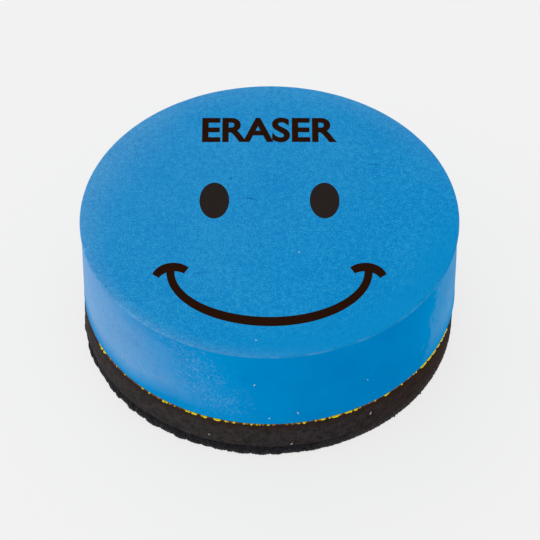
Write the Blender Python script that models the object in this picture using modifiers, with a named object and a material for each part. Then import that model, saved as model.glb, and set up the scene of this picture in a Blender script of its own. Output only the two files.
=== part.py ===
"""Round foam board eraser, about 57 mm across and 22 mm high, in metres with +Z up.

A thick die-cut foam grip is glued to a thinner foam cushion, and a pile wiping cloth is glued under that. A
flat magnet sits in a hole punched through the cushion. The origin is the centre of the underside, where the
wiping cloth rests on the board.

Run it with: blender --background --python part.py
"""

import math

import bpy

# Driving dimensions.
ERASER_DIAMETER = 0.0570
GRIP_THICKNESS = 0.0150
CUSHION_THICKNESS = 0.0040
CLOTH_THICKNESS = 0.0016
GLUE_THICKNESS = 0.0002
BOND_GAP = 0.0002  # free space above and below each glue film
MAGNET_DIAMETER = 0.0200
MAGNET_THICKNESS = 0.0030
MAGNET_CLEARANCE = 0.0005  # between the magnet's edge and the punched hole

# The grip's cut edge. The die squeezes the foam while it cuts, so the wall springs back hollow below a thin lip.
LIP_HEIGHT = 0.0005
LIP_OVERHANG = 0.0002
LIP_ROUNDING = 0.0001
WALL_HOLLOW = 0.0003  # deepest at mid-height
FOOT_INSET = 0.0002  # how far the grip's lower edge stands inside its top edge
WALL_STEPS = 8

# The other layers are cut a little smaller than the grip.
CUSHION_INSET = 0.0003
CLOTH_INSET = 0.0002
GLUE_INSET = 0.0006
CUSHION_ROUNDING = 0.0003
CLOTH_ROUNDING = 0.0004
MAGNET_ROUNDING = 0.0003

TURN_STEPS = 96
ROUNDING_STEPS = 3
MERGE_DISTANCE = 0.00001
SHARP_ANGLE = math.radians(50)

# Heights of the layers, from the resting face up.
FACING_GLUE_BOTTOM = CLOTH_THICKNESS + BOND_GAP
CUSHION_BOTTOM = FACING_GLUE_BOTTOM + GLUE_THICKNESS + BOND_GAP
CUSHION_TOP = CUSHION_BOTTOM + CUSHION_THICKNESS
PAD_GLUE_BOTTOM = CUSHION_TOP + BOND_GAP
GRIP_BOTTOM = PAD_GLUE_BOTTOM + GLUE_THICKNESS + BOND_GAP
GRIP_TOP = GRIP_BOTTOM + GRIP_THICKNESS

GRIP_RADIUS = ERASER_DIAMETER / 2
CUSHION_RADIUS = GRIP_RADIUS - CUSHION_INSET
CLOTH_RADIUS = GRIP_RADIUS - CLOTH_INSET
GLUE_RADIUS = GRIP_RADIUS - GLUE_INSET
MAGNET_RADIUS = MAGNET_DIAMETER / 2
MAGNET_HOLE_RADIUS = MAGNET_RADIUS + MAGNET_CLEARANCE


def clear_scene():
    for obj in list(bpy.data.objects):
        bpy.data.objects.remove(obj, do_unlink=True)


def principled(name, color, roughness):
    """A non-metal material of one linear RGB colour."""
    material = bpy.data.materials.new(name)
    material.use_nodes = True
    shader = material.node_tree.nodes["Principled BSDF"]
    shader.inputs["Base Color"].default_value = (*color, 1.0)
    shader.inputs["Roughness"].default_value = roughness
    shader.inputs["Metallic"].default_value = 0.0
    return material


def rounded_corner(radius, height, rounding, upper):
    """Profile points of an outer corner at (radius, height), a quarter turn of the rounding, top to bottom."""
    centre_height = height - rounding if upper else height + rounding
    start = math.pi / 2 if upper else 0.0
    points = []
    for step in range(ROUNDING_STEPS + 1):
        angle = start - (math.pi / 2) * step / ROUNDING_STEPS
        points.append((radius - rounding + rounding * math.cos(angle), centre_height + rounding * math.sin(angle)))
    return points


def outer_side(radius, bottom, top, rounding):
    """The outer side of a plain layer, with both corners rounded."""
    upper_corner = rounded_corner(radius, top, rounding, upper=True)
    lower_corner = rounded_corner(radius, bottom, rounding, upper=False)
    return upper_corner + lower_corner


def turned(name, profile, material, collection, ring=False):
    """A piece turned about Z from (radius, height) points that run top to bottom on its outer side.

    A disc's profile starts and ends on the axis. A ring's profile is joined end to end.
    """
    mesh = bpy.data.meshes.new(name)
    points = [(radius, 0.0, height) for radius, height in profile]
    edges = [(index, index + 1) for index in range(len(points) - 1)]
    if ring:
        edges.append((len(points) - 1, 0))
    mesh.from_pydata(points, edges, [])
    piece = bpy.data.objects.new(name, mesh)
    collection.objects.link(piece)
    screw = piece.modifiers.new("turn", "SCREW")
    screw.axis = "Z"
    screw.angle = 2 * math.pi
    screw.steps = TURN_STEPS
    screw.render_steps = TURN_STEPS
    screw.use_merge_vertices = True
    screw.merge_threshold = MERGE_DISTANCE

    # The turned surface takes the profile's place, so that its edges can be marked sharp where they are.
    graph = bpy.context.evaluated_depsgraph_get()
    surface = bpy.data.meshes.new_from_object(piece.evaluated_get(graph))
    surface.shade_smooth()
    surface.set_sharp_from_angle(angle=SHARP_ANGLE)
    surface.materials.append(material)
    piece.modifiers.clear()
    piece.data = surface
    bpy.data.meshes.remove(mesh)
    surface.name = name
    return piece


def disc(name, radius, bottom, top, rounding, material, collection):
    profile = [(0.0, top), *outer_side(radius, bottom, top, rounding), (0.0, bottom)]
    return turned(name, profile, material, collection)


def wall_radius(height):
    """The grip's radius at a height below its lip: hollow, and a little narrower at the foot."""
    lip_bottom = GRIP_TOP - LIP_HEIGHT
    share = (lip_bottom - height) / (lip_bottom - GRIP_BOTTOM)
    start_radius = GRIP_RADIUS - LIP_OVERHANG
    foot_radius = GRIP_RADIUS - FOOT_INSET
    straight = start_radius + (foot_radius - start_radius) * share
    return straight - WALL_HOLLOW * math.sin(math.pi * share)


def foam_grip(collection):
    foam = principled("blue_foam", (0.01, 0.24, 0.55), 0.85)
    profile = [(0.0, GRIP_TOP)]
    profile += rounded_corner(GRIP_RADIUS, GRIP_TOP, LIP_ROUNDING, upper=True)
    lip_bottom = GRIP_TOP - LIP_HEIGHT
    for step in range(WALL_STEPS + 1):
        height = lip_bottom + (GRIP_BOTTOM - lip_bottom) * step / WALL_STEPS
        profile.append((wall_radius(height), height))
    profile.append((0.0, GRIP_BOTTOM))
    return turned("foam_grip", profile, foam, collection)


def glue_film(name, bottom, color, collection):
    glue = principled(name + "_glue", color, 0.35)
    top = bottom + GLUE_THICKNESS
    profile = [(0.0, top), (GLUE_RADIUS, top), (GLUE_RADIUS, bottom), (0.0, bottom)]
    return turned(name, profile, glue, collection)


def cushion_layer(collection):
    """A ring, because the magnet's hole is punched right through it."""
    foam = principled("black_foam", (0.03, 0.027, 0.026), 0.9)
    profile = outer_side(CUSHION_RADIUS, CUSHION_BOTTOM, CUSHION_TOP, CUSHION_ROUNDING)
    profile += [(MAGNET_HOLE_RADIUS, CUSHION_BOTTOM), (MAGNET_HOLE_RADIUS, CUSHION_TOP)]
    return turned("cushion_layer", profile, foam, collection, ring=True)


def magnet_disc(collection):
    """Held against the glue film at the top of the hole, so that it stands clear of the wiping cloth."""
    ferrite = principled("ferrite", (0.05, 0.05, 0.055), 0.6)
    bottom = CUSHION_TOP - MAGNET_THICKNESS
    return disc("magnet_disc", MAGNET_RADIUS, bottom, CUSHION_TOP, MAGNET_ROUNDING, ferrite, collection)


def wiping_cloth(collection):
    pile = principled("black_pile", (0.012, 0.011, 0.011), 1.0)
    return disc("wiping_cloth", CLOTH_RADIUS, 0.0, CLOTH_THICKNESS, CLOTH_ROUNDING, pile, collection)


def build_board_eraser():
    clear_scene()
    collection = bpy.data.collections.new("board_eraser")
    bpy.context.scene.collection.children.link(collection)
    foam_grip(collection)
    glue_film("pad_glue_film", PAD_GLUE_BOTTOM, (0.75, 0.48, 0.02), collection)
    cushion_layer(collection)
    magnet_disc(collection)
    glue_film("facing_glue_film", FACING_GLUE_BOTTOM, (0.3, 0.24, 0.03), collection)
    wiping_cloth(collection)


build_board_eraser()
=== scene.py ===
"""Looks of the round foam board eraser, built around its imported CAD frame.

Millimetres are written as multiples of MM. Heights and radii come from the CAD nodes' boxes.
"""

import math
import random

import bmesh
import bpy
import numpy as np
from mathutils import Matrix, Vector, noise


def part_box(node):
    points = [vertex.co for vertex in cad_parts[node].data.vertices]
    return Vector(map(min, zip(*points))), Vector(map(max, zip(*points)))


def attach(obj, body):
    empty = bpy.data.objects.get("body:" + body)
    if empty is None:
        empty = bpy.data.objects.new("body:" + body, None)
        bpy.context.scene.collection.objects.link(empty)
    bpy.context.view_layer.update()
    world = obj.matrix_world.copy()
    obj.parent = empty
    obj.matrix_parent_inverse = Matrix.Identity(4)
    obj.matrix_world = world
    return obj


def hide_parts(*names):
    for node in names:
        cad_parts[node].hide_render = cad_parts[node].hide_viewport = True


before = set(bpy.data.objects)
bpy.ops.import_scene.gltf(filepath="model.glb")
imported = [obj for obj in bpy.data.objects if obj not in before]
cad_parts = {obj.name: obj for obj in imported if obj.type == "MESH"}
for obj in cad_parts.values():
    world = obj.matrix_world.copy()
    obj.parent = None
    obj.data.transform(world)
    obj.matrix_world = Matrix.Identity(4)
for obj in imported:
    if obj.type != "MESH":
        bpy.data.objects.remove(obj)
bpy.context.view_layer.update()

MM = 0.001
TURN = 2 * math.pi

# ---- places, from the CAD frame
GRIP_LOW, GRIP_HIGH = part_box("foam_grip")
CUSHION_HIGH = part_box("cushion_layer")[1]
CLOTH_LOW, CLOTH_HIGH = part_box("wiping_cloth")
MAGNET_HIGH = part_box("magnet_disc")[1]
GRIP_RADIUS = GRIP_HIGH.x
GRIP_TOP = GRIP_HIGH.z
GRIP_BOTTOM = GRIP_LOW.z
CLOTH_RADIUS = CLOTH_HIGH.x

# The lower layers were stuck on a little off centre.
LAYER_SHIFT = Vector((-0.16 * MM, -0.15 * MM, 0.0))


# ---- mesh helpers
def link(obj):
    bpy.context.scene.collection.objects.link(obj)
    return obj


def mesh_object(name, points, faces, materials=(), face_material=None):
    mesh = bpy.data.meshes.new(name)
    mesh.from_pydata([tuple(p) for p in points], [], faces)
    for material in materials:
        mesh.materials.append(material)
    if face_material is not None:
        mesh.polygons.foreach_set("material_index", face_material)
    mesh.shade_smooth()
    mesh.update()
    return link(bpy.data.objects.new(name, mesh))


def polar(radius, angle, height):
    """The point that far from Z, at that angle from +X."""
    return (radius * math.cos(angle), radius * math.sin(angle), height)


def turned_surface(rings, segments, point_at, closed=False):
    """Points, faces and each face's upper ring, for a surface of rings round Z.

    point_at(ring, angle) gives a point. A ring on the axis becomes one point. A closed surface joins its
    last ring to its first.
    """
    points, starts, poles = [], [], []
    for ring in range(rings):
        starts.append(len(points))
        first = point_at(ring, 0.0)
        poles.append(abs(first[0]) < 1e-9 and abs(first[1]) < 1e-9)
        if poles[-1]:
            points.append(first)
        else:
            points.extend(point_at(ring, TURN * step / segments) for step in range(segments))
    faces, owners = [], []
    for upper in range(rings if closed else rings - 1):
        lower = (upper + 1) % rings
        above, below = starts[upper], starts[lower]
        for step in range(segments):
            after = (step + 1) % segments
            if poles[upper]:
                faces.append((above, below + step, below + after))
            elif poles[lower]:
                faces.append((above + step, below, above + after))
            else:
                faces.append((above + step, below + step, below + after, above + after))
            owners.append(upper)
    return points, faces, owners


def turned_object(name, rings, segments, point_at, material, closed=False, flipped=False):
    points, faces, _ = turned_surface(rings, segments, point_at, closed)
    return mesh_object(name, points, [face[::-1] for face in faces] if flipped else faces, [material])


def smooth_noise(x, y, z, size):
    """Perlin noise from about -1 to 1 with features of that size."""
    return noise.noise(Vector((x, y, z)) / size)


def arc_steps(low, high, spacing):
    """Evenly spaced values from low to high, both included, about that far apart."""
    count = max(1, round(abs(high - low) / spacing))
    return [low + (high - low) * step / count for step in range(count + 1)]


def disc_rings(radii, steps, ends=True):
    """Stages of a disc from its top's middle over its rim to its underside's middle, as (kind, value).

    The rim's turns go from straight up to straight down. Without ends these two are left out.
    """
    turns = [math.pi / 2 - math.pi * step / steps for step in range(steps + 1)]
    rim = [("rim", turn) for turn in (turns if ends else turns[1:-1])]
    return [("top", radius) for radius in radii] + rim + [("under", radius) for radius in radii[::-1]]


# ---- material helpers
class Field:
    """A number, place or colour over a piece: a shader node's output. Arithmetic on it adds nodes."""

    def __init__(self, socket):
        self.socket = socket
        self.tree = socket.id_data

    def worked(self, operation, *others, clamp=False):
        """The result of a math node on this number and the others."""
        inputs = dict(enumerate((self, *others)))
        made = node(self.tree, "ShaderNodeMath", inputs, operation=operation, use_clamp=clamp)
        return Field(made.outputs[0])

    def __add__(self, other):
        return self.worked("ADD", other)

    def __sub__(self, other):
        return self.worked("SUBTRACT", other)

    def __rsub__(self, other):
        return self * -1.0 + other

    def __mul__(self, other):
        return self.worked("MULTIPLY", other)

    def __truediv__(self, other):
        return self.worked("DIVIDE", other)

    def __pow__(self, other):
        return self.worked("POWER", other)

    def __abs__(self):
        return self.worked("ABSOLUTE")

    def clamped(self):
        """The same number, kept between 0 and 1."""
        return self.worked("ADD", 0.0, clamp=True)


def feed(made, inputs):
    """Gives a node its inputs, each a constant or a Field."""
    for key, value in inputs.items():
        socket = made.inputs[key]
        if isinstance(value, Field):
            made.id_data.links.new(value.socket, socket)
        else:
            socket.default_value = (*value, 1.0) if socket.type == "RGBA" else value


def node(tree, kind, inputs=None, **settings):
    made = tree.nodes.new(kind)
    for key, value in settings.items():
        setattr(made, key, value)
    feed(made, inputs or {})
    return made


def new_material(name):
    """A material, and the place on the piece in metres that its looks are worked out from."""
    material = bpy.data.materials.new(name)
    material.use_nodes = True
    return material, Field(node(material.node_tree, "ShaderNodeTexCoord").outputs["Object"])


def dress(material, color, roughness, specular=0.5, relief=None, more=None):
    """Gives a material its looks. relief is the (height, distance, strength) of its bumps."""
    looks = {"Base Color": color, "Roughness": roughness, "Specular IOR Level": specular, **(more or {})}
    if relief is not None:
        inputs = dict(zip(("Height", "Distance", "Strength"), relief))
        looks["Normal"] = Field(node(material.node_tree, "ShaderNodeBump", inputs).outputs["Normal"])
    feed(material.node_tree.nodes["Principled BSDF"], looks)
    return material


def axes(place):
    made = node(place.tree, "ShaderNodeSeparateXYZ", {"Vector": place})
    return [Field(made.outputs[axis]) for axis in "XYZ"]


def from_axis(place):
    """Distance from Z."""
    x, y, _ = axes(place)
    return (x * x + y * y).worked("SQRT")


def around(place):
    """Share of a turn from -X, over -Y, +X and +Y back to -X, from 0 to 1."""
    x, y, _ = axes(place)
    return y.worked("ARCTAN2", x) * (1.0 / TURN) + 0.5


def grain(place, size, detail=2.0, roughness=0.55, distortion=0.0):
    """Cloudy noise from 0 to 1 with features of that size in metres."""
    inputs = {"Vector": place, "Scale": 1.0 / size, "Detail": detail, "Roughness": roughness}
    inputs["Distortion"] = distortion
    return Field(node(place.tree, "ShaderNodeTexNoise", inputs).outputs["Fac"])


def cells(place, spacing):
    """Random cells about that far across: the distance to a cell's heart, as a share, and its colour."""
    made = node(place.tree, "ShaderNodeTexVoronoi", {"Vector": place, "Scale": 1.0 / spacing}, feature="F1")
    return Field(made.outputs["Distance"]), Field(made.outputs["Color"])


def moved(place, operation, inputs):
    """The place after a vector operation."""
    made = node(place.tree, "ShaderNodeVectorMath", {0: place, **inputs}, operation=operation)
    return Field(made.outputs["Vector"])


def scattered(place, spacing, inside, outside, faintest, darkest):
    """Ragged marks about that far apart, from 1 inside to 0 outside, some of them faint."""
    inputs = {"Vector": place, "Scale": 2.2 / spacing, "Detail": 2.0}
    wobble = Field(node(place.tree, "ShaderNodeTexNoise", inputs).outputs["Color"])
    shift = moved(wobble, "SCALE", {"Scale": 0.7 * spacing})
    distance, color = cells(moved(place, "ADD", {1: shift}), spacing)
    chance = Field(node(place.tree, "ShaderNodeSeparateColor", {"Color": color}).outputs["Red"])
    return remap(distance, inside, outside, 1.0, 0.0) * remap(chance, faintest, darkest)


def remap(value, low, high, to_low=0.0, to_high=1.0):
    inputs = {"Value": value, "From Min": low, "From Max": high, "To Min": to_low, "To Max": to_high}
    return Field(node(value.tree, "ShaderNodeMapRange", inputs, clamp=True).outputs["Result"])


def ramp(value, *stops):
    """A colour for each (place, linear RGB) stop."""
    made = node(value.tree, "ShaderNodeValToRGB", {"Fac": value})
    elements = made.color_ramp.elements
    while len(elements) < len(stops):
        elements.new(0.5)
    for element, (place, color) in zip(elements, stops):
        element.position = place
        element.color = (*color, 1.0)
    return Field(made.outputs["Color"])


def mix_color(share, first, second, blend="MIX"):
    inputs = {0: share, 6: first, 7: second}  # the mix node's factor and its two colours
    return Field(node(first.tree, "ShaderNodeMix", inputs, data_type="RGBA", blend_type=blend).outputs[2])


# ---- blue foam
FOAM_DEEP = (0.0, 0.213, 0.572)
FOAM_MIDDLE = (0.0, 0.276, 0.640)
FOAM_PALE = (0.024, 0.347, 0.688)
FOAM_WALL_DEEP = (0.0, 0.291, 0.742)
FOAM_WALL = (0.0, 0.320, 0.790)
# Painted shade in the pores, pits and nicks, which are also bumped inwards.
PORE_SHADE_BLUE = (0.0, 0.212, 0.570)
PIT_SHADE_BLUE = (0.0, 0.12, 0.40)
# A painted sheen: a pale colour mixed into the foam where a soft highlight would fall.
PAINTED_SHEEN = (0.82, 0.84, 0.90)
SHEEN_SCALE = 4.0  # keeps small shares well apart on a colour ramp

# Round the cut wall, (share of a turn from -X towards -Y, share of painted sheen). The stretch from the
# front to the right has none. The rest has a painted sheen, strongest at the left.
WALL_SHEEN = [
    (0.0, 0.255), (0.046, 0.255), (0.074, 0.200), (0.105, 0.178), (0.141, 0.115), (0.165, 0.068),
    (0.180, 0.020), (0.205, 0.005), (0.220, 0.0), (0.411, 0.0), (0.416, 0.052), (0.436, 0.074),
    (0.454, 0.125), (0.60, 0.125), (0.80, 0.170), (1.0, 0.255),
]
# Round the same way, how light the blue under the painted sheen is: painted light and shade, darkest at the
# front right.
WALL_LIGHT_AND_SHADE = [
    (0.0, 0.83), (0.141, 0.87), (0.190, 0.90), (0.222, 0.91), (0.25, 0.855), (0.275, 0.805),
    (0.30, 0.785), (0.325, 0.785), (0.35, 0.765), (0.37, 0.785), (0.395, 0.835), (0.412, 0.94),
    (0.436, 1.0), (0.60, 0.93), (1.0, 0.83),
]
# The edge of the stretch without painted sheen leans, by this many turns a metre of height, at its left and
# right end.
LEFT_LEAN, RIGHT_LEAN = 3.2, -1.6
SHEEN_EDGE = 0.194  # the left end of the stretch without painted sheen, in turns, where pale worms of painted sheen lie
WORM_REACH = (0.004, 0.036)  # turns from that edge where the worms begin to thin out, and where they end

# Round the face's rim, share of painted sheen at the rim, and how far in it fades out, as a share of
# HAZE_REACH.
RIM_SHEEN = [
    (0.0, 0.062), (0.056, 0.058), (0.111, 0.084), (0.167, 0.054), (0.222, 0.044), (0.250, 0.030),
    (0.278, 0.010), (0.310, 0.0), (0.50, 0.0), (0.556, 0.015), (0.611, 0.036), (0.667, 0.050),
    (0.722, 0.022), (0.778, 0.036), (0.833, 0.055), (0.889, 0.068), (0.944, 0.062), (1.0, 0.062),
]
HAZE_REACH = 11.0 * MM
RIM_FADE = [
    (0.0, 0.62), (0.056, 0.36), (0.111, 0.22), (0.222, 0.24), (0.50, 0.45), (0.611, 0.62),
    (0.667, 0.45), (0.833, 0.55), (0.889, 1.0), (0.944, 1.0), (1.0, 0.62),
]
SHEENLESS_MIDDLE = 0.35  # the middle of the face's zone without painted sheen at the front right, where its mottle is evened, in turns
FACE_SHEEN = 0.0185  # share of painted sheen at the back left
FACE_SHEEN_SPAN = (-27.0 * MM, 30.0 * MM)  # from where that painted sheen begins to where it is full
EDGE_HIGHLIGHT = 0.036  # share of painted highlight on the very edge
PORE_SPACING = 0.55 * MM
PIT_SPACING = 3.2 * MM
PIT_STRETCH = (0.45, 1.3, 1.0)  # pits are short dashes along X
NICK_SPACING = 3.4 * MM


def greys(stops, scale=1.0):
    return [(place, (share * scale,) * 3) for place, share in stops]


def blues(stops):
    """The greys of those stops, with blue changing less than red and green."""
    return [(place, (share, share, 0.9 * share**0.55)) for place, share in stops]


def rim_sheen(place, turn, from_rim):
    """Painted sheen fading in from the rim, broken into fine worms, and a painted highlight along the edge
    itself.
    """
    fade = ramp(turn, *greys(RIM_FADE)) * HAZE_REACH
    haze = (1.0 - from_rim / fade).clamped() ** 2.0 * ramp(turn, *greys(RIM_SHEEN, SHEEN_SCALE))
    worms = remap(grain(place, 0.40 * MM, distortion=1.4), 0.45, 0.60, 0.75, 1.35)
    edge_highlight = remap(from_rim, 0.06 * MM, 0.14 * MM, EDGE_HIGHLIGHT, 0.0)
    return haze * (worms / SHEEN_SCALE) + edge_highlight * remap(grain(place, 3.0 * MM), 0.45, 0.62, 0.1, 1.4)


def foam_skin_material():
    """The sheet's own skin on the printed face: matte, finely mottled, with a painted sheen that makes it
    paler at the back left.
    """
    material, place = new_material("blue_foam_skin")
    turn, from_rim = around(place), from_axis(place) * -1.0 + GRIP_RADIUS
    mottle = grain(place, 0.25 * MM, roughness=0.65) * 0.78 + grain(place, 0.8 * MM, detail=1.0) * 0.26
    cloud = grain(place, 12.0 * MM)
    color = ramp(cloud * 0.10 + mottle * 0.90, (0.41, FOAM_DEEP), (0.515, FOAM_MIDDLE), (0.62, FOAM_PALE))
    sheenless = remap(abs(turn - SHEENLESS_MIDDLE), 0.10, 0.17, 1.0, 0.0)
    sheenless = sheenless * remap(from_rim, 2.5 * MM, 7.0 * MM, 0.75, 0.0)
    color = mix_color(sheenless, color, FOAM_MIDDLE)
    x, y, _ = axes(place)
    # Painted sheen: paler towards the back left and in from the rim, left out at the front right.
    sheen_share = remap(x * -0.9 + y, *FACE_SHEEN_SPAN) * FACE_SHEEN * remap(cloud, 0.3, 0.7, 0.75, 1.25)
    color = mix_color(sheen_share * (1.0 - sheenless) + rim_sheen(place, turn, from_rim), color, PAINTED_SHEEN)
    pores = scattered(place, PORE_SPACING, 0.12, 0.36, 0.25, 0.9)
    pits = scattered(moved(place, "MULTIPLY", {1: PIT_STRETCH}), PIT_SPACING, 0.035, 0.085, 0.1, 0.45)
    # Painted shade in the pores and pits.
    color = mix_color(pores * 0.85, color, PORE_SHADE_BLUE)
    color = mix_color(pits * 0.8, color, PIT_SHADE_BLUE)
    height = mottle - pits.worked("MAXIMUM", pores) * 0.6
    sheen = {"Sheen Weight": 0.02, "Sheen Roughness": 0.4}
    return dress(material, color, remap(mottle, 0.3, 0.7, 0.65, 0.8), 0.03, (height, 0.05 * MM, 0.6), sheen)


def sheen_fade_at_ends(turn, height):
    """Shares of the painted sheen near the wall's foot and under its lip."""
    rise = remap(turn, 0.12, 0.155, 0.0, 1.0 * MM) - remap(turn, 0.30, 0.44, 0.0, 1.0 * MM)
    foot = remap(height - rise, GRIP_BOTTOM + 0.2 * MM, GRIP_BOTTOM + 3.4 * MM, 0.03, 1.0)
    under_lip = remap(height, GRIP_TOP - 3.6 * MM, GRIP_TOP - 1.2 * MM)
    lip_loss = remap(turn, 0.06, 0.16, 0.0, 0.5) - remap(turn, 0.30, 0.41, 0.0, 0.7)
    return foot, 1.0 - under_lip * lip_loss


def wall_sheen(place, fine):
    """Share of painted sheen round the cut wall, with a wandering, stippled edge and pale worms along it."""
    turn, height = around(place), axes(place)[2]
    drift = grain(place, 1.8 * MM, detail=4.0, roughness=0.7) - 0.5
    lean = (height - (GRIP_BOTTOM + GRIP_TOP) / 2) * remap(turn, 0.25, 0.38, LEFT_LEAN, RIGHT_LEAN)
    wander = drift * 0.06 + turn + lean
    stipple = remap(fine, 0.30, 0.70, 0.7, 1.3) / SHEEN_SCALE
    foot, lip = sheen_fade_at_ends(turn, height)
    sheen_share = ramp(wander, *greys(WALL_SHEEN, SHEEN_SCALE)) * stipple * foot * lip
    worms = remap(grain(place, 0.36 * MM, distortion=1.6), 0.56, 0.63) * (foot * 0.8 + 0.2)
    return sheen_share + worms * remap(abs(wander - SHEEN_EDGE), *WORM_REACH, 1.0, 0.0) * 0.15


def foam_cut_material():
    """The die-cut wall: smoother than the skin, with painted light and shade round it, a painted sheen
    except from the front to the right, and nicks.
    """
    material, place = new_material("blue_foam_cut")
    fine = grain(place, 0.35 * MM, detail=3.0, roughness=0.65)
    color = ramp(grain(place, 6.0 * MM), (0.3, FOAM_WALL_DEEP), (0.7, FOAM_WALL))
    # Painted light and shade round the wall.
    color = mix_color(1.0, color, ramp(around(place), *blues(WALL_LIGHT_AND_SHADE)), "MULTIPLY")
    # Painted sheen round the wall, left out from the front to the right.
    color = mix_color(wall_sheen(place, fine), color, PAINTED_SHEEN)
    nicks = remap(cells(place, NICK_SPACING)[0], 0.03, 0.065, 1.0, 0.0)
    # Painted shade in the nicks.
    color = mix_color(nicks * 0.5, color, PIT_SHADE_BLUE)
    relief = (fine - nicks * 1.2, 0.05 * MM, 0.5)
    return dress(material, color, remap(fine, 0.3, 0.7, 0.42, 0.58), 0.0, relief)


# ---- other materials
# Colours of the adhesive (place on the scale from a thin film to a thick blob, linear RGB).
YELLOW_GLUE = [(0.04, (0.075, 0.026, 0.003)), (0.26, (0.42, 0.17, 0.002)), (0.50, (1.0, 0.77, 0.0))]
OLIVE_GLUE = [(0.1, (0.012, 0.011, 0.008)), (0.4, (0.05, 0.045, 0.014)), (0.8, (0.16, 0.14, 0.03))]
LEFT_PAINTED_LIGHT = (0.9, 0.85, 0.78)
SOAKED_FOAM = (0.030, 0.014, 0.007)
PILE_RIM_LIGHT_TINT = (0.030, 0.021, 0.018)
FLOOR_GLOW = 0.757


def glue_material(name, stops):
    """Contact adhesive: dark where its film is thin, bright where it squeezed out."""
    material, place = new_material(name)
    blobs = Field(node(place.tree, "ShaderNodeAttribute", attribute_name="blob").outputs["Fac"])
    mottle = grain(place, 0.32 * MM)
    return dress(material, ramp(blobs + (mottle - 0.5), *stops), 0.45, 0.15, (mottle, 0.05 * MM, 0.5))


def cushion_material():
    """Charcoal foam, browner where glue soaked into its upper edge and its right, with painted light that
    makes it paler on its left.
    """
    material, place = new_material("black_foam")
    fine = grain(place, 0.35 * MM, detail=3.0, roughness=0.65)
    mottle = fine * 0.55 + grain(place, 1.1 * MM, detail=3.0) * 0.45
    color = ramp(mottle, (0.38, (0.012, 0.0100, 0.0103)), (0.62, (0.039, 0.0320, 0.0335)))
    x, _, z = axes(place)
    # Painted light: paler towards the left.
    color = mix_color(remap(x, -28.0 * MM, 20.0 * MM, 0.014, 0.0), color, LEFT_PAINTED_LIGHT)
    soaked = remap(z, CUSHION_HIGH.z - 1.3 * MM, CUSHION_HIGH.z, 0.0, 0.6)
    soaked = (soaked + remap(x, 12.0 * MM, 27.0 * MM, 0.0, 0.75)).clamped()
    color = mix_color(soaked, color, SOAKED_FOAM)
    return dress(material, color, 0.75, 0.02, (mottle, 0.06 * MM, 0.6))


def pile_material():
    """Black synthetic pile with a slight cold glint, paler and browner at the right rim: partly painted
    light over the shade under the cushion, partly a brown tint.
    """
    material, place = new_material("black_pile")
    color = ramp(grain(place, 0.6 * MM), (0.35, (0.001, 0.001, 0.002)), (0.65, (0.013, 0.013, 0.019)))
    # Paler and browner at the right rim: partly painted light, partly a brown tint.
    glued = remap(axes(place)[0], 6.0 * MM, 15.0 * MM, 0.0, 0.85)
    glued = glued * remap(from_axis(place), 27.3 * MM, 28.0 * MM)
    color = mix_color(glued, color, PILE_RIM_LIGHT_TINT)
    return dress(material, color, 0.45, 0.15, (grain(place, 0.15 * MM), 0.03 * MM, 0.6))


def backing_material():
    """The knitted ground of the cloth, black like its pile, with rows of fine loops."""
    material, place = new_material("black_backing")
    wave = {"Vector": place, "Scale": 1.0 / (2.2 * MM), "Distortion": 1.5, "Detail": 2.0}
    rows = Field(node(place.tree, "ShaderNodeTexWave", wave).outputs["Fac"])
    color = ramp(rows, (0.2, (0.005, 0.005, 0.006)), (0.8, (0.016, 0.015, 0.017)))
    return dress(material, color, 0.85, relief=(rows, 0.06 * MM, 0.6))


def ink_material(name, thin, dense):
    """Screen-print ink, almost black, with the foam's grain just showing through."""
    material, place = new_material(name)
    fine = grain(place, 0.3 * MM)
    return dress(material, ramp(fine, (0.25, dense), (0.75, thin)), 0.55, 0.005, (fine, 0.03 * MM, 0.4))


def ferrite_material():
    material, place = new_material("magnet_ferrite")
    speckle = grain(place, 0.4 * MM, detail=3.0)
    color = ramp(speckle, (0.3, (0.035, 0.035, 0.038)), (0.7, (0.06, 0.06, 0.065)))
    return dress(material, color, 0.6, relief=(speckle, 0.04 * MM, 0.4))


def lint_material():
    material, place = new_material("white_lint")
    color = ramp(grain(place, 0.3 * MM), (0.3, (0.75, 0.72, 0.78)), (0.7, (0.95, 0.92, 0.95)))
    return dress(material, color, 0.8)


def floor_material():
    """Pale acrylic, softly lit from below as on a product photographer's light table."""
    material, _ = new_material("pale_floor")
    glow = {"Emission Color": (1.0, 1.0, 1.0), "Emission Strength": FLOOR_GLOW}
    return dress(material, (0.15, 0.15, 0.15), 0.9, 0.0, more=glow)


# ---- foam grip
SEGMENTS = 480
LIP_ROUND = 0.13 * MM
LIP_HEIGHT = 0.42 * MM
LIP_OVERHANG = 0.17 * MM
WALL_SPREAD = 0.13 * MM
FOOT_FLARE = 0.04 * MM
FOOT_ROUND = 0.10 * MM

# Rings down the wall, (highest, lowest, spacing), finer near the lip and the foot.
WALL_RINGS = [
    (GRIP_TOP - LIP_HEIGHT * 0.75, GRIP_TOP - 1.3 * MM, 0.12 * MM),
    (GRIP_TOP - 1.55 * MM, GRIP_BOTTOM + 1.2 * MM, 0.30 * MM),
    (GRIP_BOTTOM + 1.0 * MM, GRIP_BOTTOM + FOOT_ROUND, 0.15 * MM),
]
FOOT_RINGS = (GRIP_RADIUS - 0.35 * MM, GRIP_RADIUS - 2.0 * MM, 15.0 * MM, 6.0 * MM, 0.0)

# (x, y, radius, depth) in millimetres of shallow dents that handling left in the printed face
DENTS = [
    (-6.0, -8.2, 1.1, 0.05), (17.5, -2.0, 1.5, 0.04), (4.5, 12.0, 1.8, 0.04), (-18.0, 6.5, 1.2, 0.05),
    (11.0, -13.0, 0.9, 0.04),
]


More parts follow.
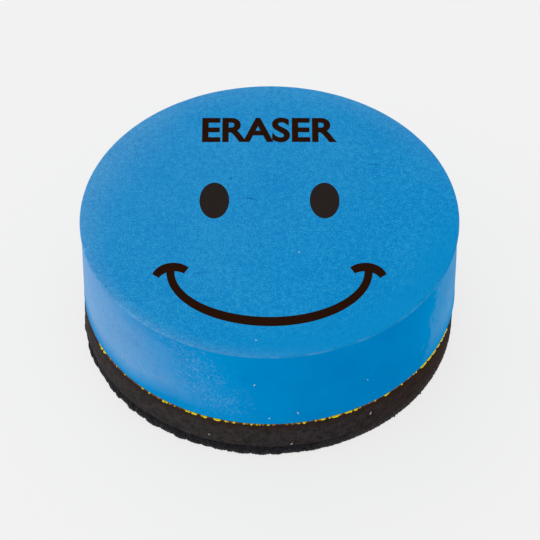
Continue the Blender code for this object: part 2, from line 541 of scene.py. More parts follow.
def face_height(x, y):
    """Height of the printed face. The foam's skin swells and dips a little."""
    height = GRIP_TOP - 0.05 * MM
    height += 0.035 * MM * smooth_noise(x, y, 0.0, 11.0 * MM)
    height += 0.010 * MM * smooth_noise(x, y, 0.01, 2.2 * MM)
    for dent_x, dent_y, radius, depth in DENTS:
        share = ((x / MM - dent_x) ** 2 + (y / MM - dent_y) ** 2) / radius**2
        if share < 4.0:
            height -= depth * MM * math.exp(-2.0 * share)
    return height


def wall_radius(angle, height):
    """Radius of the cut wall: it springs back under the lip, spreads downwards and flares at the foot."""
    lip_bottom = GRIP_TOP - LIP_HEIGHT
    down = (lip_bottom - height) / (lip_bottom - GRIP_BOTTOM)
    x, y, _ = polar(GRIP_RADIUS, angle, height)
    radius = GRIP_RADIUS - LIP_OVERHANG * (1.0 - math.exp(-down / 0.025))
    radius += WALL_SPREAD * down
    radius += FOOT_FLARE * math.exp((down - 1.0) / 0.03)
    radius += 0.030 * MM * smooth_noise(x, y, height, 6.0 * MM)
    radius += 0.008 * MM * smooth_noise(x, y, height * 0.12, 0.9 * MM)
    return radius


def grip_profile():
    """Stages from the middle of the printed face over the lip and down the wall, as (kind, value)."""
    profile = [("face", radius) for radius in arc_steps(0.0, GRIP_RADIUS - 2.5 * LIP_ROUND, 0.42 * MM)]
    profile += [("lip", math.pi / 2 * (1.0 - step / 5)) for step in range(6)]
    for rings in WALL_RINGS:
        profile += [("wall", height) for height in arc_steps(*rings)]
    return profile + [("foot", radius) for radius in FOOT_RINGS]


def foam_body():
    profile = grip_profile()

    def point_at(ring, angle):
        kind, value = profile[ring]
        x, y, _ = polar(value if kind == "face" else GRIP_RADIUS, angle, 0.0)
        if kind == "face":
            return (x, y, face_height(x, y))
        if kind == "lip":
            radius = GRIP_RADIUS + 0.020 * MM * smooth_noise(x, y, 0.0, 1.6 * MM) - LIP_ROUND
            height = face_height(x, y) - LIP_ROUND
            return polar(radius + LIP_ROUND * math.cos(value), angle, height + LIP_ROUND * math.sin(value))
        if kind == "wall":
            return polar(wall_radius(angle, value), angle, value)
        return polar(value, angle, GRIP_BOTTOM)

    points, faces, owners = turned_surface(len(profile), SEGMENTS, point_at)
    slots = [1 if profile[owner][0] in ("wall", "foot") else 0 for owner in owners]
    body = mesh_object("foam_body", points, faces, [foam_skin_material(), foam_cut_material()], slots)
    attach(body, "root")
    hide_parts("foam_grip")


# ---- print on the face
INK_LIFT = 0.012 * MM
INK_DEPTH = 0.05 * MM
INK_GRAIN = 0.45 * MM  # longest edge of the laid film
EYE_CENTRE = (8.33 * MM, 3.2 * MM)
EYE_HALF = (2.24 * MM, 3.8 * MM)
SMILE_CENTRE = (0.0, -11.5 * MM)
SMILE_OUTER = (15.23 * MM, 11.0 * MM)
SMILE_INNER = (14.05 * MM, 9.2 * MM)
SMILE_ENDS = (176.5, 363.5)  # degrees
# A cheek is the band between two arcs, each (centre, radius, first degree, last degree), on the right side.
CHEEK_OUTER = ((14.22 * MM, -12.98 * MM), 3.18 * MM, 136.0, 15.5)
CHEEK_INNER = ((14.08 * MM, -14.05 * MM), 2.52 * MM, 28.0, 125.0)
WORD = "ERASER"
WORD_WIDTH = 20.8 * MM
WORD_HEIGHT = 5.5 * MM
WORD_BASE = 15.8 * MM
WORD_BOLDNESS = 0.03
# Thin and dense ink, linear RGB.
BLACK_INK = ((0.026, 0.019, 0.0175), (0.020, 0.0145, 0.0135))
BROWN_INK = ((0.024, 0.0075, 0.0025), (0.018, 0.005, 0.0015))


def evaluated_mesh(obj):
    graph = bpy.context.evaluated_depsgraph_get()
    return bpy.data.meshes.new_from_object(obj.evaluated_get(graph))


def apply_modifiers(obj):
    mesh = evaluated_mesh(obj)
    obj.modifiers.clear()
    obj.data = mesh


def arc(centre, half, start, end, steps):
    """Points of an ellipse's arc between two angles in degrees."""
    points = []
    for step in range(steps + 1):
        angle = math.radians(start + (end - start) * step / steps)
        points.append((centre[0] + half[0] * math.cos(angle), centre[1] + half[1] * math.sin(angle)))
    return points


def plate(name, outline):
    """A thin flat plate of that outline, a list of (x, y), to be laid on the face later."""
    shape = bmesh.new()
    face = shape.faces.new([shape.verts.new((x, y, INK_DEPTH)) for x, y in outline])
    lower = bmesh.ops.extrude_face_region(shape, geom=[face])
    corners = [item for item in lower["geom"] if isinstance(item, bmesh.types.BMVert)]
    bmesh.ops.translate(shape, verts=corners, vec=(0.0, 0.0, -INK_DEPTH))
    bmesh.ops.recalc_face_normals(shape, faces=shape.faces)
    mesh = bpy.data.meshes.new(name)
    shape.to_mesh(mesh)
    shape.free()
    return link(bpy.data.objects.new(name, mesh))


def unite(target, others):
    for other in others:
        modifier = target.modifiers.new("unite", "BOOLEAN")
        modifier.operation = "UNION"
        modifier.solver = "EXACT"
        modifier.object = other
    apply_modifiers(target)
    for other in others:
        bpy.data.objects.remove(other)


def lay_on_face(obj, material):
    """Cuts a flat plate up finely and lays it on the swelling face as a film of ink."""
    shape = bmesh.new()
    shape.from_mesh(obj.data)
    while True:
        bmesh.ops.triangulate(shape, faces=shape.faces)
        long_edges = [edge for edge in shape.edges if edge.calc_length() > INK_GRAIN]
        if not long_edges:
            break
        bmesh.ops.subdivide_edges(shape, edges=long_edges, cuts=1)
    for vertex in shape.verts:
        x, y = vertex.co.x, vertex.co.y
        vertex.co.z += face_height(x, y) + INK_LIFT - INK_DEPTH
    bmesh.ops.recalc_face_normals(shape, faces=shape.faces)
    shape.to_mesh(obj.data)
    shape.free()
    obj.data.materials.clear()
    obj.data.materials.append(material)
    obj.data.shade_smooth()
    obj.data.set_sharp_from_angle(angle=math.radians(50))
    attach(obj, "root")


def cheek_outline(side):
    points = []
    for centre, radius, start, end in (CHEEK_OUTER, CHEEK_INNER):
        points += arc(centre, (radius, radius), start, end, 20)
    return [(side * x, y) for x, y in points]


def lettering():
    """The plain word as a flat plate, stretched to the width and height that it has on the face."""
    curve = bpy.data.curves.new("word", "FONT")
    curve.body = WORD
    curve.offset = WORD_BOLDNESS
    curve.extrude = 0.5
    text = link(bpy.data.objects.new("word", curve))
    mesh = evaluated_mesh(text)
    bpy.data.objects.remove(text)
    shape = bmesh.new()
    shape.from_mesh(mesh)
    bmesh.ops.remove_doubles(shape, verts=shape.verts, dist=1e-5)
    left, right = (pick(v.co.x for v in shape.verts) for pick in (min, max))
    bottom, top = (pick(v.co.y for v in shape.verts) for pick in (min, max))
    for vertex in shape.verts:
        across = (vertex.co.x - left) / (right - left)
        up = (vertex.co.y - bottom) / (top - bottom)
        depth = INK_DEPTH if vertex.co.z > 0 else 0.0
        vertex.co = (WORD_WIDTH * (across - 0.5), WORD_BASE + WORD_HEIGHT * up, depth)
    shape.to_mesh(mesh)
    shape.free()
    return link(bpy.data.objects.new("word_print", mesh))


def printed_face():
    ink = ink_material("black_ink", *BLACK_INK)
    brown_ink = ink_material("brown_black_ink", *BROWN_INK)
    for side, name in ((-1, "eye_print_left"), (1, "eye_print_right")):
        centre = (side * EYE_CENTRE[0], EYE_CENTRE[1])
        lay_on_face(plate(name, arc(centre, EYE_HALF, 0.0, 360.0, 64)[:-1]), ink)
    outer = arc(SMILE_CENTRE, SMILE_OUTER, *SMILE_ENDS, 90)
    inner = arc(SMILE_CENTRE, SMILE_INNER, *SMILE_ENDS[::-1], 90)
    smile = plate("smile_print", outer + inner)
    unite(smile, [plate("cheek", cheek_outline(side)) for side in (-1, 1)])
    lay_on_face(smile, brown_ink)
    lay_on_face(lettering(), brown_ink)


# ---- adhesive
GLUE_SEGMENTS = 1440
GLUE_RINGS = [0.0, 12.0 * MM, 24.0 * MM]
GLUE_LIP = 0.06 * MM
PAD_GLUE_SEAM = (GRIP_BOTTOM - 0.27 * MM, GRIP_BOTTOM)  # what the glue fills between foam and cushion

# (angle in degrees, half width in degrees, share) of the stretches where beads of glue squeezed out, seen
# from above. Elsewhere the film ends in a thin brown line with a bead here and there.
SQUEEZE_OUT = [
    (208, 2.2, 0.82), (246, 7.0, 0.62), (258, 6.0, 0.66), (266, 6.0, 0.52), (281, 5.0, 0.62),
    (291, 6.0, 0.72), (309, 5.0, 0.46), (332, 12.0, 0.80), (20, 8.0, 0.52), (62, 5.0, 0.60),
    (97, 9.0, 0.50), (131, 6.0, 0.60), (158, 5.0, 0.50),
]
DRY_MIDDLE, DRY_HALF = 183, 14  # the stretch, in degrees, where the film ends short of the wall


def squeeze(angle):
    """From 0, a thin line of glue, to about 1, a yellow bead."""
    degrees = math.degrees(angle) % 360
    share = 0.34 - 0.34 * math.exp(-0.5 * ((degrees - DRY_MIDDLE) / DRY_HALF) ** 4)
    for middle, half_width, peak in SQUEEZE_OUT:
        away = (degrees - middle + 180) % 360 - 180
        share = max(share, peak * math.exp(-0.5 * (away / half_width) ** 4))
    x, y, _ = polar(GRIP_RADIUS, angle, 0.0)
    bead = 0.5 + 0.55 * smooth_noise(x, y, 0.0, 0.95 * MM) + 0.45 * smooth_noise(x, y, 0.01, 0.38 * MM)
    return 0.14 * bead + max(0.0, min(0.9, 2.6 * (bead - (1.0 - share))))


def glue_film(name, seam, amount_at, reach, blob_reach, blob_height, material):
    """A glue film with an irregular rim. amount_at(angle) says how much squeezed out, from 0 to about 1."""
    bottom, top = seam
    middle, half = (bottom + top) / 2, (top - bottom) / 2
    rings = disc_rings(GLUE_RINGS, 8)

    def point_at(ring, angle):
        kind, value = rings[ring]
        if kind != "rim":
            return polar(value, angle, top if kind == "top" else bottom)
        amount = amount_at(angle)
        bead, sag = blob_reach * amount, blob_height * amount / 2
        radius = reach + bead * 0.6 + (GLUE_LIP + bead * 0.4) * math.cos(value)
        return polar(radius, angle, middle - sag + (half + sag) * math.sin(value))

    film = turned_object(name, len(rings), GLUE_SEGMENTS, point_at, material)
    amounts = [amount_at(math.atan2(vertex.co.y, vertex.co.x)) for vertex in film.data.vertices]
    film.data.attributes.new("blob", "FLOAT", "POINT").data.foreach_set("value", amounts)
    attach(film, "root")
    return film


def pad_glue():
    film = glue_film(
        "pad_glue",
        (PAD_GLUE_SEAM[0] + 0.02 * MM, PAD_GLUE_SEAM[1] - 0.02 * MM),
        squeeze,
        reach=GRIP_RADIUS - 0.16 * MM,
        blob_reach=0.24 * MM,
        blob_height=0.02 * MM,
        material=glue_material("yellow_adhesive", YELLOW_GLUE),
    )
    film.location = LAYER_SHIFT * 0.4
    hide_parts("pad_glue_film")


# ---- cushion
CUSHION_TOP = PAD_GLUE_SEAM[0]
CUSHION_BOTTOM = CLOTH_HIGH.z + 0.10 * MM
CUSHION_RADIUS = CUSHION_HIGH.x + 0.08 * MM  # it bulges a little under the grip's weight
CUSHION_ROUND = 0.18 * MM
CUSHION_BELLY = 0.10 * MM
CUSHION_SPREAD = 0.26 * MM
CUSHION_INSIDE = 24.0 * MM  # from here inwards the ring is flat
MAGNET_HOLE = MAGNET_HIGH.x + 0.5 * MM


def cushion():
    profile = []
    for step in range(4):
        turn = math.pi / 2 * (1.0 - step / 3)
        inward, down = CUSHION_ROUND * (1.0 - math.cos(turn)), CUSHION_ROUND * (1.0 - math.sin(turn))
        profile.append(("edge", CUSHION_RADIUS - inward, CUSHION_TOP - down))
    heights = arc_steps(CUSHION_TOP - CUSHION_ROUND, CUSHION_BOTTOM + CUSHION_ROUND, 0.25 * MM)[1:-1]
    profile += [("edge", CUSHION_RADIUS, height) for height in (*heights, CUSHION_BOTTOM + 0.10 * MM)]
    profile.append(("edge", CUSHION_RADIUS - 0.04 * MM, CUSHION_BOTTOM))
    for radius, height in (
        (CUSHION_INSIDE, CUSHION_BOTTOM),
        (MAGNET_HOLE, CUSHION_BOTTOM),
        (MAGNET_HOLE, CUSHION_TOP),
        (CUSHION_INSIDE, CUSHION_TOP),
    ):
        profile.append(("inside", radius, height))

    def point_at(ring, angle):
        kind, radius, height = profile[ring]
        if kind == "edge":
            place = polar(radius, angle, height)
            down = (CUSHION_TOP - height) / (CUSHION_TOP - CUSHION_BOTTOM)
            radius += (0.05 * smooth_noise(*place, 5.0 * MM) + 0.012 * smooth_noise(*place, 0.8 * MM)) * MM
            radius += CUSHION_BELLY * math.sin(math.pi * down) + CUSHION_SPREAD * (down - 0.5)
        return polar(radius, angle, height)

    pad = turned_object("cushion_pad", len(profile), SEGMENTS, point_at, cushion_material(), closed=True)
    pad.location = LAYER_SHIFT
    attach(pad, "root")
    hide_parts("cushion_layer")
    return pad


# ---- wiping cloth
def in_cloth(piece):
    piece.location = LAYER_SHIFT
    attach(piece, "root")
    return piece


BACKING_BOTTOM = 1.2 * MM
BACKING_TOP = CLOTH_HIGH.z
BACKING_RADIUS = CLOTH_RADIUS - 0.05 * MM
EDGE_ROUND = 0.08 * MM
GLUED_RADIUS = 26.2 * MM  # outside it the backing has come loose in places
SIMULATED_SCALE = 20.0
SIMULATED_FRAMES = 16
SWELLING = 0.22  # how much a fully loose rim grows
LOWEST_MOVE, HIGHEST_MOVE = -0.45 * MM, 0.05 * MM  # short of the floor and of the cushion
SHEET_SEGMENTS = 240
SHEET_RINGS = 9
CLUMP_WIDTH = (0.8 * MM, 3.0 * MM)  # the narrowest and the widest clump that the nap forms at the rim
RIM_STEPS = 2880
# The rim is loosest round one angle, at the front left, and a little loose round another, behind.
LOOSE_MIDDLE, LOOSE_HALF = math.radians(237.0), math.radians(64.0)
BEHIND_MIDDLE, BEHIND_SHARE = math.radians(125.0), 0.32
NEARLY_FLUSH = 0.04


def looseness(angle):
    """How loose the rim of the cloth is, up to 1."""
    away = abs((angle - LOOSE_MIDDLE + math.pi) % TURN - math.pi)
    front = 1.0 - min(1.0, away / LOOSE_HALF) ** 3
    behind = BEHIND_SHARE * (1.0 + math.cos(angle - BEHIND_MIDDLE))
    return max(front, behind, NEARLY_FLUSH)


def clump_table():
    """How far each step round the rim stands out, from 0 in a notch between clumps to 1 on a big clump."""
    rand = random.Random(12)
    angles = np.arange(RIM_STEPS) / RIM_STEPS * TURN
    table = np.zeros(RIM_STEPS)
    start = 0.0
    while start < TURN:
        width = rand.uniform(*CLUMP_WIDTH) / CLOTH_RADIUS
        away = np.abs((angles - start - width / 2 + math.pi) % TURN - math.pi) / (0.52 * width)
        table = np.maximum(table, rand.uniform(0.25, 1.0) * np.clip(1.0 - away**2, 0.0, 1.0) ** 0.5)
        start += width
    return table


CLUMPS = clump_table()


def clump(angle):
    return float(CLUMPS[round(angle % TURN / TURN * RIM_STEPS) % RIM_STEPS])


def sheet_radius(ring):
    """Radius of a ring of the backing. Most rings are in the free rim, where it ruffles."""
    if ring <= 2:
        return GLUED_RADIUS * ring / 2
    return GLUED_RADIUS + (BACKING_RADIUS - GLUED_RADIUS) * (ring - 2) / (SHEET_RINGS - 3)


def free_share(radius):
    """How far out in the free rim a radius is, from 0 at the glue's edge to 1 at the backing's edge."""
    return max(0.0, radius - GLUED_RADIUS) / (BACKING_RADIUS - GLUED_RADIUS)


def ruffle_by_simulation():
    """Moves of the backing's points, (ring, segment, xyz) in metres, where its free rim swelled and buckled.

    It is simulated enlarged, with the glued middle pinned, because cloth solvers are tuned for big sheets.
    """
    moves = np.zeros((SHEET_RINGS, SHEET_SEGMENTS, 3))

    def point_at(ring, angle):
        radius = sheet_radius(ring)
        lift = 0.05 * MM * smooth_noise(*polar(radius, angle, 0.0), 1.8 * MM) * free_share(radius)
        return tuple(SIMULATED_SCALE * value for value in polar(radius, angle, lift))

    points, faces, _ = turned_surface(SHEET_RINGS, SHEET_SEGMENTS, point_at)
    cloth = mesh_object("backing_simulated", points, faces)
    pinned = cloth.vertex_groups.new(name="glued")
    free = cloth.vertex_groups.new(name="swollen")
    for index, point in enumerate(points):
        radius = math.hypot(point[0], point[1]) / SIMULATED_SCALE
        if radius <= GLUED_RADIUS + 0.01 * MM:
            pinned.add([index], 1.0, "REPLACE")
        else:
            free.add([index], looseness(math.atan2(point[1], point[0])), "REPLACE")
    modifier = cloth.modifiers.new("cloth", "CLOTH")
    settings = modifier.settings
    settings.quality = 6
    settings.mass = 0.3
    settings.tension_stiffness = settings.compression_stiffness = 20.0
    settings.bending_stiffness = 0.4
    settings.effector_weights.gravity = 0.0
    settings.vertex_group_mass = pinned.name
    settings.vertex_group_shrink = free.name
    settings.shrink_min = 0.0
    settings.shrink_max = -SWELLING
    modifier.point_cache.frame_start = 1
    modifier.point_cache.frame_end = SIMULATED_FRAMES
    modifier.collision_settings.use_collision = False
    for step in range(1, SIMULATED_FRAMES + 1):
        bpy.context.scene.frame_set(step)
    apply_modifiers(cloth)
    bpy.context.scene.frame_set(1)
    after = np.array([vertex.co for vertex in cloth.data.vertices]) / SIMULATED_SCALE
    before = np.array(points) / SIMULATED_SCALE
    moves[1:] = (after - before)[1:].reshape(SHEET_RINGS - 1, SHEET_SEGMENTS, 3)
    bpy.data.objects.remove(cloth)
    return moves


def ruffle_at(moves, x, y):
    """The simulated move of the backing at a place."""
    radius, angle = math.hypot(x, y), math.atan2(y, x) % TURN
    if radius <= GLUED_RADIUS:
        return np.zeros(3)
    ring = 2 + (SHEET_RINGS - 3) * min(1.0, free_share(radius))
    segment = angle / TURN * SHEET_SEGMENTS
    low_ring, low_segment = min(int(ring), SHEET_RINGS - 2), int(segment)
    up, along = ring - low_ring, segment - low_segment
    first, second = low_segment % SHEET_SEGMENTS, (low_segment + 1) % SHEET_SEGMENTS
    inner = moves[low_ring, first] * (1 - along) + moves[low_ring, second] * along
    outer = moves[low_ring + 1, first] * (1 - along) + moves[low_ring + 1, second] * along
    move = inner * (1 - up) + outer * up
    return np.array([move[0], move[1], max(LOWEST_MOVE, min(HIGHEST_MOVE, move[2] - 0.10 * MM * (up > 0)))])


def rim_reach(angle):
    """How far the matted rim stands out past the backing's own radius. It was pushed forward a little."""
    from_front = (angle + 1.5 * math.pi) % TURN - math.pi
    front = max(0.0, math.cos(1.5 * from_front))
    return (0.06 + 0.14 * front + looseness(angle) * (0.52 * clump(angle) - 0.08)) * MM


def backing(moves):
    radii = [0.0, 14.0 * MM] + arc_steps(GLUED_RADIUS, BACKING_RADIUS - EDGE_ROUND, 0.3 * MM)
    rings = disc_rings(radii, 4, ends=False)
    half = (BACKING_TOP - BACKING_BOTTOM) / 2

    def point_at(ring, angle):
        kind, value = rings[ring]
        radius, lift = value, half if kind == "top" else -half
        if kind == "rim":
            radius, lift = BACKING_RADIUS - EDGE_ROUND + EDGE_ROUND * math.cos(value), half * math.sin(value)
        radius += free_share(radius) ** 2 * 0.6 * rim_reach(angle)
        x, y, height = polar(radius, angle, BACKING_BOTTOM + half + lift)
        return (x, y, height) + ruffle_at(moves, x, y)

    sheet = turned_object("wiping_cloth_backing", len(rings), SEGMENTS, point_at, backing_material())
    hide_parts("wiping_cloth")
    return in_cloth(sheet)


# ---- pile
TUFT_SIDES = 4
TUFT_LEVELS = [(0.0, 1.0), (0.5, 0.95), (0.88, 0.55)]  # (share of the length, share of the width)
TUFT_SPACING = 0.57 * MM
TUFT_WIDTH = (0.42, 0.62)  # mm
TUFT_LENGTH = (0.86, 1.0)  # share of the height above the floor
TUFT_LAY = Vector((0.35, -0.15, 0.0))  # the way the nap is brushed
# Directions that no tuft and no fibre runs along, to turn their rings from.
TUFT_HINT = Vector((0.3, 0.9, 0.2))
FIBRE_HINT = Vector((0.2, 0.5, 0.84))
FIBRE_SIDES = 5
# Stray fibres, at most that many, and their measures in millimetres.
FIBRE_COUNT = 36
FIBRE_HEIGHT, FIBRE_LENGTH, FIBRE_RADIUS = (0.35, 1.15), (0.15, 0.45), (0.014, 0.024)


def tube(points, faces, rings, hint, sides, twist=0.0, tip=None):
    """Adds a closed tube through rings of (centre, run, radius), to a flat end or a pointed tip."""
    start = len(points)
    last = start + (len(rings) - 1) * sides
    for centre, run, radius in rings:
        side = run.cross(hint).normalized()
        other = run.cross(side)
        for step in range(sides):
            angle = twist + TURN * step / sides
            points.append(centre + (side * math.cos(angle) + other * math.sin(angle)) * radius)
    faces.append(tuple(range(start, start + sides))[::-1])
    for low in range(start, last, sides):
        for step in range(sides):
            after = (step + 1) % sides
            faces.append((low + step, low + after, low + sides + after, low + sides + step))
    if tip is None:
        faces.append(tuple(range(last, last + sides)))
    else:
        points.append(tip)
        faces += [(last + step, last + (step + 1) % sides, len(points) - 1) for step in range(sides)]


def tufts(name, stems, material):
    """Closed tapered tufts. A stem is (root, middle, tip, width, twist)."""
    points, faces = [], []
    for root, middle, tip, width, twist in stems:
        run = (tip - root).normalized()
        rings = []
        for along, share in TUFT_LEVELS:
            centre = root * (1 - along) ** 2 + middle * (2 * along * (1 - along)) + tip * along**2
            rings.append((centre, run, width * share / 2))
        tube(points, faces, rings, TUFT_HINT, TUFT_SIDES, twist, tip)
    return in_cloth(mesh_object(name, points, faces, [material]))


def stem(rand, moves, x, y, reach, length_share, width):
    """One tuft rooted in the backing at (x, y), its tip leaning by reach, a vector in the plane."""
    move = ruffle_at(moves, x, y)
    root = Vector((x + move[0], y + move[1], BACKING_BOTTOM + move[2] + 0.12 * MM))
    lowest = max(0.04 * MM, root.z * (1.0 - length_share))
    tip = Vector((root.x + reach.x, root.y + reach.y, lowest + rand.random() * 0.10 * MM))
    middle = root.lerp(tip, 0.5) + Vector((0.0, 0.0, 0.12 * MM)) - reach * 0.25
    return root, middle, tip, width, rand.random() * TURN


def pile_under(moves, material):
    rand = random.Random(4)
    stems = []
    row_spacing = 0.87 * TUFT_SPACING
    rows = int(CLOTH_RADIUS / row_spacing) + 1
    for row in range(-rows, rows + 1):
        for column in range(-rows, rows + 1):
            x = (column + 0.5 * (row % 2)) * TUFT_SPACING + rand.uniform(-0.4, 0.4) * TUFT_SPACING
            y = row * row_spacing + rand.uniform(-0.4, 0.4) * TUFT_SPACING
            if math.hypot(x, y) > BACKING_RADIUS - 0.25 * MM:
                continue
            swirl = 0.3 * smooth_noise(x, y, 0.0, 6.0 * MM)
            sway = Vector((swirl + rand.uniform(-0.2, 0.2), rand.uniform(-0.25, 0.25), 0.0))
            reach = (TUFT_LAY + sway) * MM
            width = rand.uniform(*TUFT_WIDTH) * MM
            stems.append(stem(rand, moves, x, y, reach, rand.uniform(*TUFT_LENGTH), width))
    return tufts("pile_under", stems, material)


NAP_SEGMENTS = 1440
NAP_RINGS = 18
NAP_CENTRE = BACKING_RADIUS - 0.30 * MM
NAP_REACH = 0.28 * MM  # how far its section reaches out from that centre, before the clumps
NAP_LEVEL, NAP_HALF = 0.90 * MM, 0.84 * MM  # the height of the section's middle, and half its height
MOUND_LIFT, MOUND_GROWTH = 0.20 * MM, 0.24 * MM  # what a clump adds to these two
NAP_MOUNDS = math.radians(3.1)  # the clumps' tops don't line up with their bellies
NAP_ROWS = (-0.75, -0.4, -0.05, 0.3, 0.65, 1.0)  # rows of tufts on the rim's section, radians above level
NAP_TUFT_SPACING = 0.21 * MM
NAP_TUFT_WIDTH = (0.13, 0.24)  # mm


def squared(share):
    """A sine or a cosine raised so that the round that it draws has fuller corners."""
    return math.copysign(abs(share) ** 0.75, share)


def nap_point(moves, angle, turn, out=0.0):
    """A point on the rounded edge of the nap, or that far out of it. turn goes round its section."""
    mound = clump(angle + NAP_MOUNDS) * looseness(angle)
    across = NAP_REACH + rim_reach(angle) + out
    up = NAP_HALF + MOUND_GROWTH * mound + out
    height = NAP_LEVEL + MOUND_LIFT * mound + up * squared(math.sin(turn))
    x, y, _ = polar(NAP_CENTRE + across * squared(math.cos(turn)), angle, height)
    move = ruffle_at(moves, x, y)
    return Vector((x + move[0], y + move[1], max(0.05 * MM, height + move[2])))


def nap_edge(moves, material):
    """The dense nap at the cut edge of the cloth, matted into rounded clumps."""

    def point_at(ring, angle):
        turn = TURN * ring / NAP_RINGS
        flat = nap_point(moves, angle, turn)
        rough = 0.040 * MM * smooth_noise(*flat, 0.55 * MM) + 0.035 * MM * smooth_noise(*flat, 0.24 * MM)
        return tuple(nap_point(moves, angle, turn, rough))

    size = (NAP_RINGS, NAP_SEGMENTS)
    return in_cloth(turned_object("nap_edge", *size, point_at, material, closed=True, flipped=True))


def nap_tufts(moves, material):
    """Short tufts lying on the edge of the nap, brushed downwards, that break it up."""
    rand = random.Random(9)
    stems = []
    count = int(TURN * BACKING_RADIUS / NAP_TUFT_SPACING)
    for row in NAP_ROWS:
        for step in range(count):
            angle = TURN * (step + rand.random()) / count
            turn = row + rand.uniform(-0.2, 0.2)
            sway = rand.uniform(-0.16, 0.16) * MM / BACKING_RADIUS
            root = nap_point(moves, angle, turn + 0.30, -0.06 * MM)
            middle = nap_point(moves, angle + sway / 2, turn + 0.05, 0.02 * MM)
            tip = nap_point(moves, angle + sway, turn - 0.22, rand.uniform(0.0, 0.07) * MM)
            stems.append((root, middle, tip, rand.uniform(*NAP_TUFT_WIDTH) * MM, rand.random() * TURN))
    return tufts("nap_tufts", stems, material)


def fibre(points, faces, path, radius):
    """Adds a closed thin tube that tapers at both ends along a path of points."""
    rings = []
    for index, centre in enumerate(path):
        run = (path[min(index + 1, len(path) - 1)] - path[max(index - 1, 0)]).normalized()
        rings.append((centre, run, radius * (0.35 + 0.65 * math.sin(math.pi * (index + 0.5) / len(path)))))
    tube(points, faces, rings, FIBRE_HINT, FIBRE_SIDES)


def stray_fibres(material):
    """Single fibres that have worked loose from the rim."""
    rand = random.Random(21)
    points, faces = [], []
    for _ in range(FIBRE_COUNT):
        angle = rand.random() * TURN
        loose = looseness(angle)
        if rand.random() > 1.4 * loose - 0.4:
            continue
        outward = Vector(polar(1.0, angle, 0.0))
        along = Vector((-outward.y, outward.x, 0.0)) * rand.uniform(-0.9, 0.9)
        radius = BACKING_RADIUS + 0.8 * rim_reach(angle)
        height = rand.uniform(*FIBRE_HEIGHT) * MM
        length = rand.uniform(*FIBRE_LENGTH) * MM * (0.4 + 0.6 * loose)
        lift = rand.uniform(-0.5, 0.25)
        path = []
        for step in range(6):
            share = step / 5
            place = outward * (radius + length * share * (1 - 0.3 * share)) + along * length * share**2
            place.z = max(0.05 * MM, height + lift * length * share**1.5)
            path.append(place)
        fibre(points, faces, path, rand.uniform(*FIBRE_RADIUS) * MM)
    return in_cloth(mesh_object("stray_fibres", points, faces, [material]))


def wiping_cloth(cushion_piece):
    moves = ruffle_by_simulation()
    material = pile_material()
    sheet = backing(moves)
    pile = [pile_under(moves, material), nap_edge(moves, material), nap_tufts(moves, material)]
    pile.append(stray_fibres(material))


# ---- facing glue
def facing_squeeze(angle):
    """Flecks of glue that show at the cloth's joint, mostly where its rim is loose."""
    place = polar(CLOTH_RADIUS, angle, 0.0)
    fleck = smooth_noise(*place, 1.5 * MM) + 0.5 * smooth_noise(*place, 0.6 * MM)
    return max(0.0, min(1.0, 2.2 * (fleck - 0.30))) * (0.25 + 0.75 * looseness(angle))


def facing_glue():
    film = glue_film(
        "facing_glue",
        (BACKING_TOP + 0.01 * MM, CUSHION_BOTTOM - 0.01 * MM),
        facing_squeeze,
        reach=CUSHION_RADIUS - 0.30 * MM,
        blob_reach=0.34 * MM,
        blob_height=0.16 * MM,
        material=glue_material("olive_adhesive", OLIVE_GLUE),
    )
    film.location = LAYER_SHIFT
    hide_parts("facing_glue_film")


# ---- lint and magnet
# Fibres of white lint on the face, (x, y, length) in millimetres and the yaw in radians.
FACE_LINT = [(4.4, -7.6, 0.34, 0.6), (-1.9, -25.3, 0.30, 2.6)]
# The same on the wall and on the black foam, (angle in degrees, height, length, lean in radians).
WALL_LINT = [
    (265.6, 15.4, 0.42, 0.9), (278.5, 9.0, 0.46, 1.9), (270.0, 8.2, 0.30, 0.4), (300.5, 12.3, 0.26, 2.2),
    (122.0, 13.0, 0.40, 0.7),
]
BAND_LINT = [
    (302.5, 4.3, 0.55, 1.1), (277.0, 2.2, 0.42, 0.5), (252.0, 3.0, 0.30, 2.4), (38.0, 3.6, 0.50, 0.9),
]
LINT_LIFT = 0.03 * MM
FACE_LINT_RADIUS, SIDE_LINT_RADIUS = 0.055 * MM, 0.05 * MM


def curl(centre, run, rise, length):
    """The path of one curled fibre."""
    path = []
    for step in range(7):
        share = step / 6 - 0.5
        path.append(centre + run * (length * share) + rise * (length * 0.6 * share * share))
    return path


def band_radius(angle, height):
    return CUSHION_RADIUS + 0.1 * MM


def lint():
    points, faces = [], []
    for x, y, length, yaw in FACE_LINT:
        run = Vector(polar(1.0, yaw, 0.0))
        across = Vector((-run.y, run.x, 0.0))
        centre = Vector((x * MM, y * MM, face_height(x * MM, y * MM) + LINT_LIFT))
        fibre(points, faces, curl(centre, run, across, length * MM), FACE_LINT_RADIUS)
    sides = ((WALL_LINT, wall_radius, Vector()), (BAND_LINT, band_radius, LAYER_SHIFT))
    for group, radius_at, shift in sides:
        for degrees, height, length, lean in group:
            angle = math.radians(degrees)
            outward = Vector(polar(1.0, angle, 0.0))
            along = Vector((-outward.y, outward.x, 0.0))
            run = along * math.cos(lean) + Vector((0.0, 0.0, math.sin(lean)))
            radius = radius_at(angle, height * MM) + LINT_LIFT
            centre = Vector(polar(radius, angle, height * MM)) + shift
            fibre(points, faces, curl(centre, run, outward.cross(run), length * MM), SIDE_LINT_RADIUS)
    piece = mesh_object("lint_specks", points, faces, [lint_material()])
    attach(piece, "root")


def magnet():
    """The magnet keeps its CAD shape, and its place between the glue films, with a ferrite finish."""
    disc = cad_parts["magnet_disc"]
    disc.data.materials.clear()
    disc.data.materials.append(ferrite_material())


# ---- stage
SKY = 0.70
FLOOR_RADIUS = 3.0
FLOOR_SEGMENTS = 96
SWEEP_RADIUS = 1.7
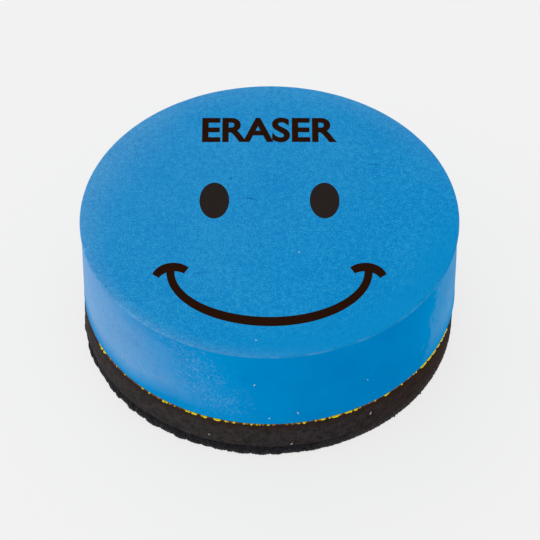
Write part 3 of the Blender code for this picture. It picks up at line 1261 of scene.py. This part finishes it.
# (name, place, sides, power) of the lights, in metres and watts
SOFTBOXES = [
    ("softbox_left", (-2.0, -0.3, 1.1), (2.2, 2.2), 9.0),
    ("softbox_back", (-0.8, 1.8, 1.6), (2.0, 1.6), 12.0),
]
LIGHTS_AIM = Vector((0.0, 0.0, 0.01))

CAMERA_ELEVATION = math.radians(45.5)
CAMERA_DISTANCE = 16.0 * GRIP_RADIUS
CAMERA_LENS, CAMERA_SENSOR = 202.2, 36.0  # mm
CAMERA_ASIDE = 0.08 * MM
CAMERA_AIM_HEIGHT = 9.86 * MM


def turn_towards(obj, aim):
    obj.rotation_euler = (aim - obj.location).to_track_quat("-Z", "Y").to_euler()


def area_light(name, place, sides, power):
    light = bpy.data.lights.new(name, "AREA")
    light.shape = "RECTANGLE"
    light.size, light.size_y = sides
    light.energy = power
    holder = link(bpy.data.objects.new(name, light))
    holder.location = place
    turn_towards(holder, LIGHTS_AIM)


def backdrop():
    """A round floor that sweeps up into a wall far away."""
    level = CLOTH_LOW.z - 0.02 * MM
    profile = [(0.0, 0.0), (FLOOR_RADIUS / 2, 0.0), (FLOOR_RADIUS, 0.0)]
    for turn in arc_steps(0.1, math.pi / 2, 0.1):
        profile.append((FLOOR_RADIUS + SWEEP_RADIUS * math.sin(turn), SWEEP_RADIUS * (1.0 - math.cos(turn))))

    def point_at(ring, angle):
        radius, height = profile[ring]
        return polar(radius, angle, level + height)

    return turned_object("floor", len(profile), FLOOR_SEGMENTS, point_at, floor_material(), flipped=True)


def stage():
    floor = backdrop()

    world = bpy.data.worlds.new("studio")
    bpy.context.scene.world = world
    world.use_nodes = True
    feed(world.node_tree.nodes["Background"], {"Color": (1.0, 1.0, 1.0), "Strength": SKY})
    bpy.context.scene.view_settings.view_transform = "Standard"
    for softbox in SOFTBOXES:
        area_light(*softbox)


def camera():
    lens = bpy.data.cameras.new("camera")
    lens.lens = CAMERA_LENS
    lens.sensor_width = CAMERA_SENSOR
    lens.clip_start = 0.01
    viewer = link(bpy.data.objects.new("camera", lens))
    back = Vector((0.0, -math.cos(CAMERA_ELEVATION), math.sin(CAMERA_ELEVATION)))
    viewer.location = Vector((CAMERA_ASIDE, 0.0, GRIP_TOP)) + back * CAMERA_DISTANCE
    turn_towards(viewer, Vector((CAMERA_ASIDE, 0.0, CAMERA_AIM_HEIGHT)))
    bpy.context.scene.camera = viewer


camera()
foam_body()
printed_face()
pad_glue()
wiping_cloth(cushion())
facing_glue()
lint()
magnet()
stage()
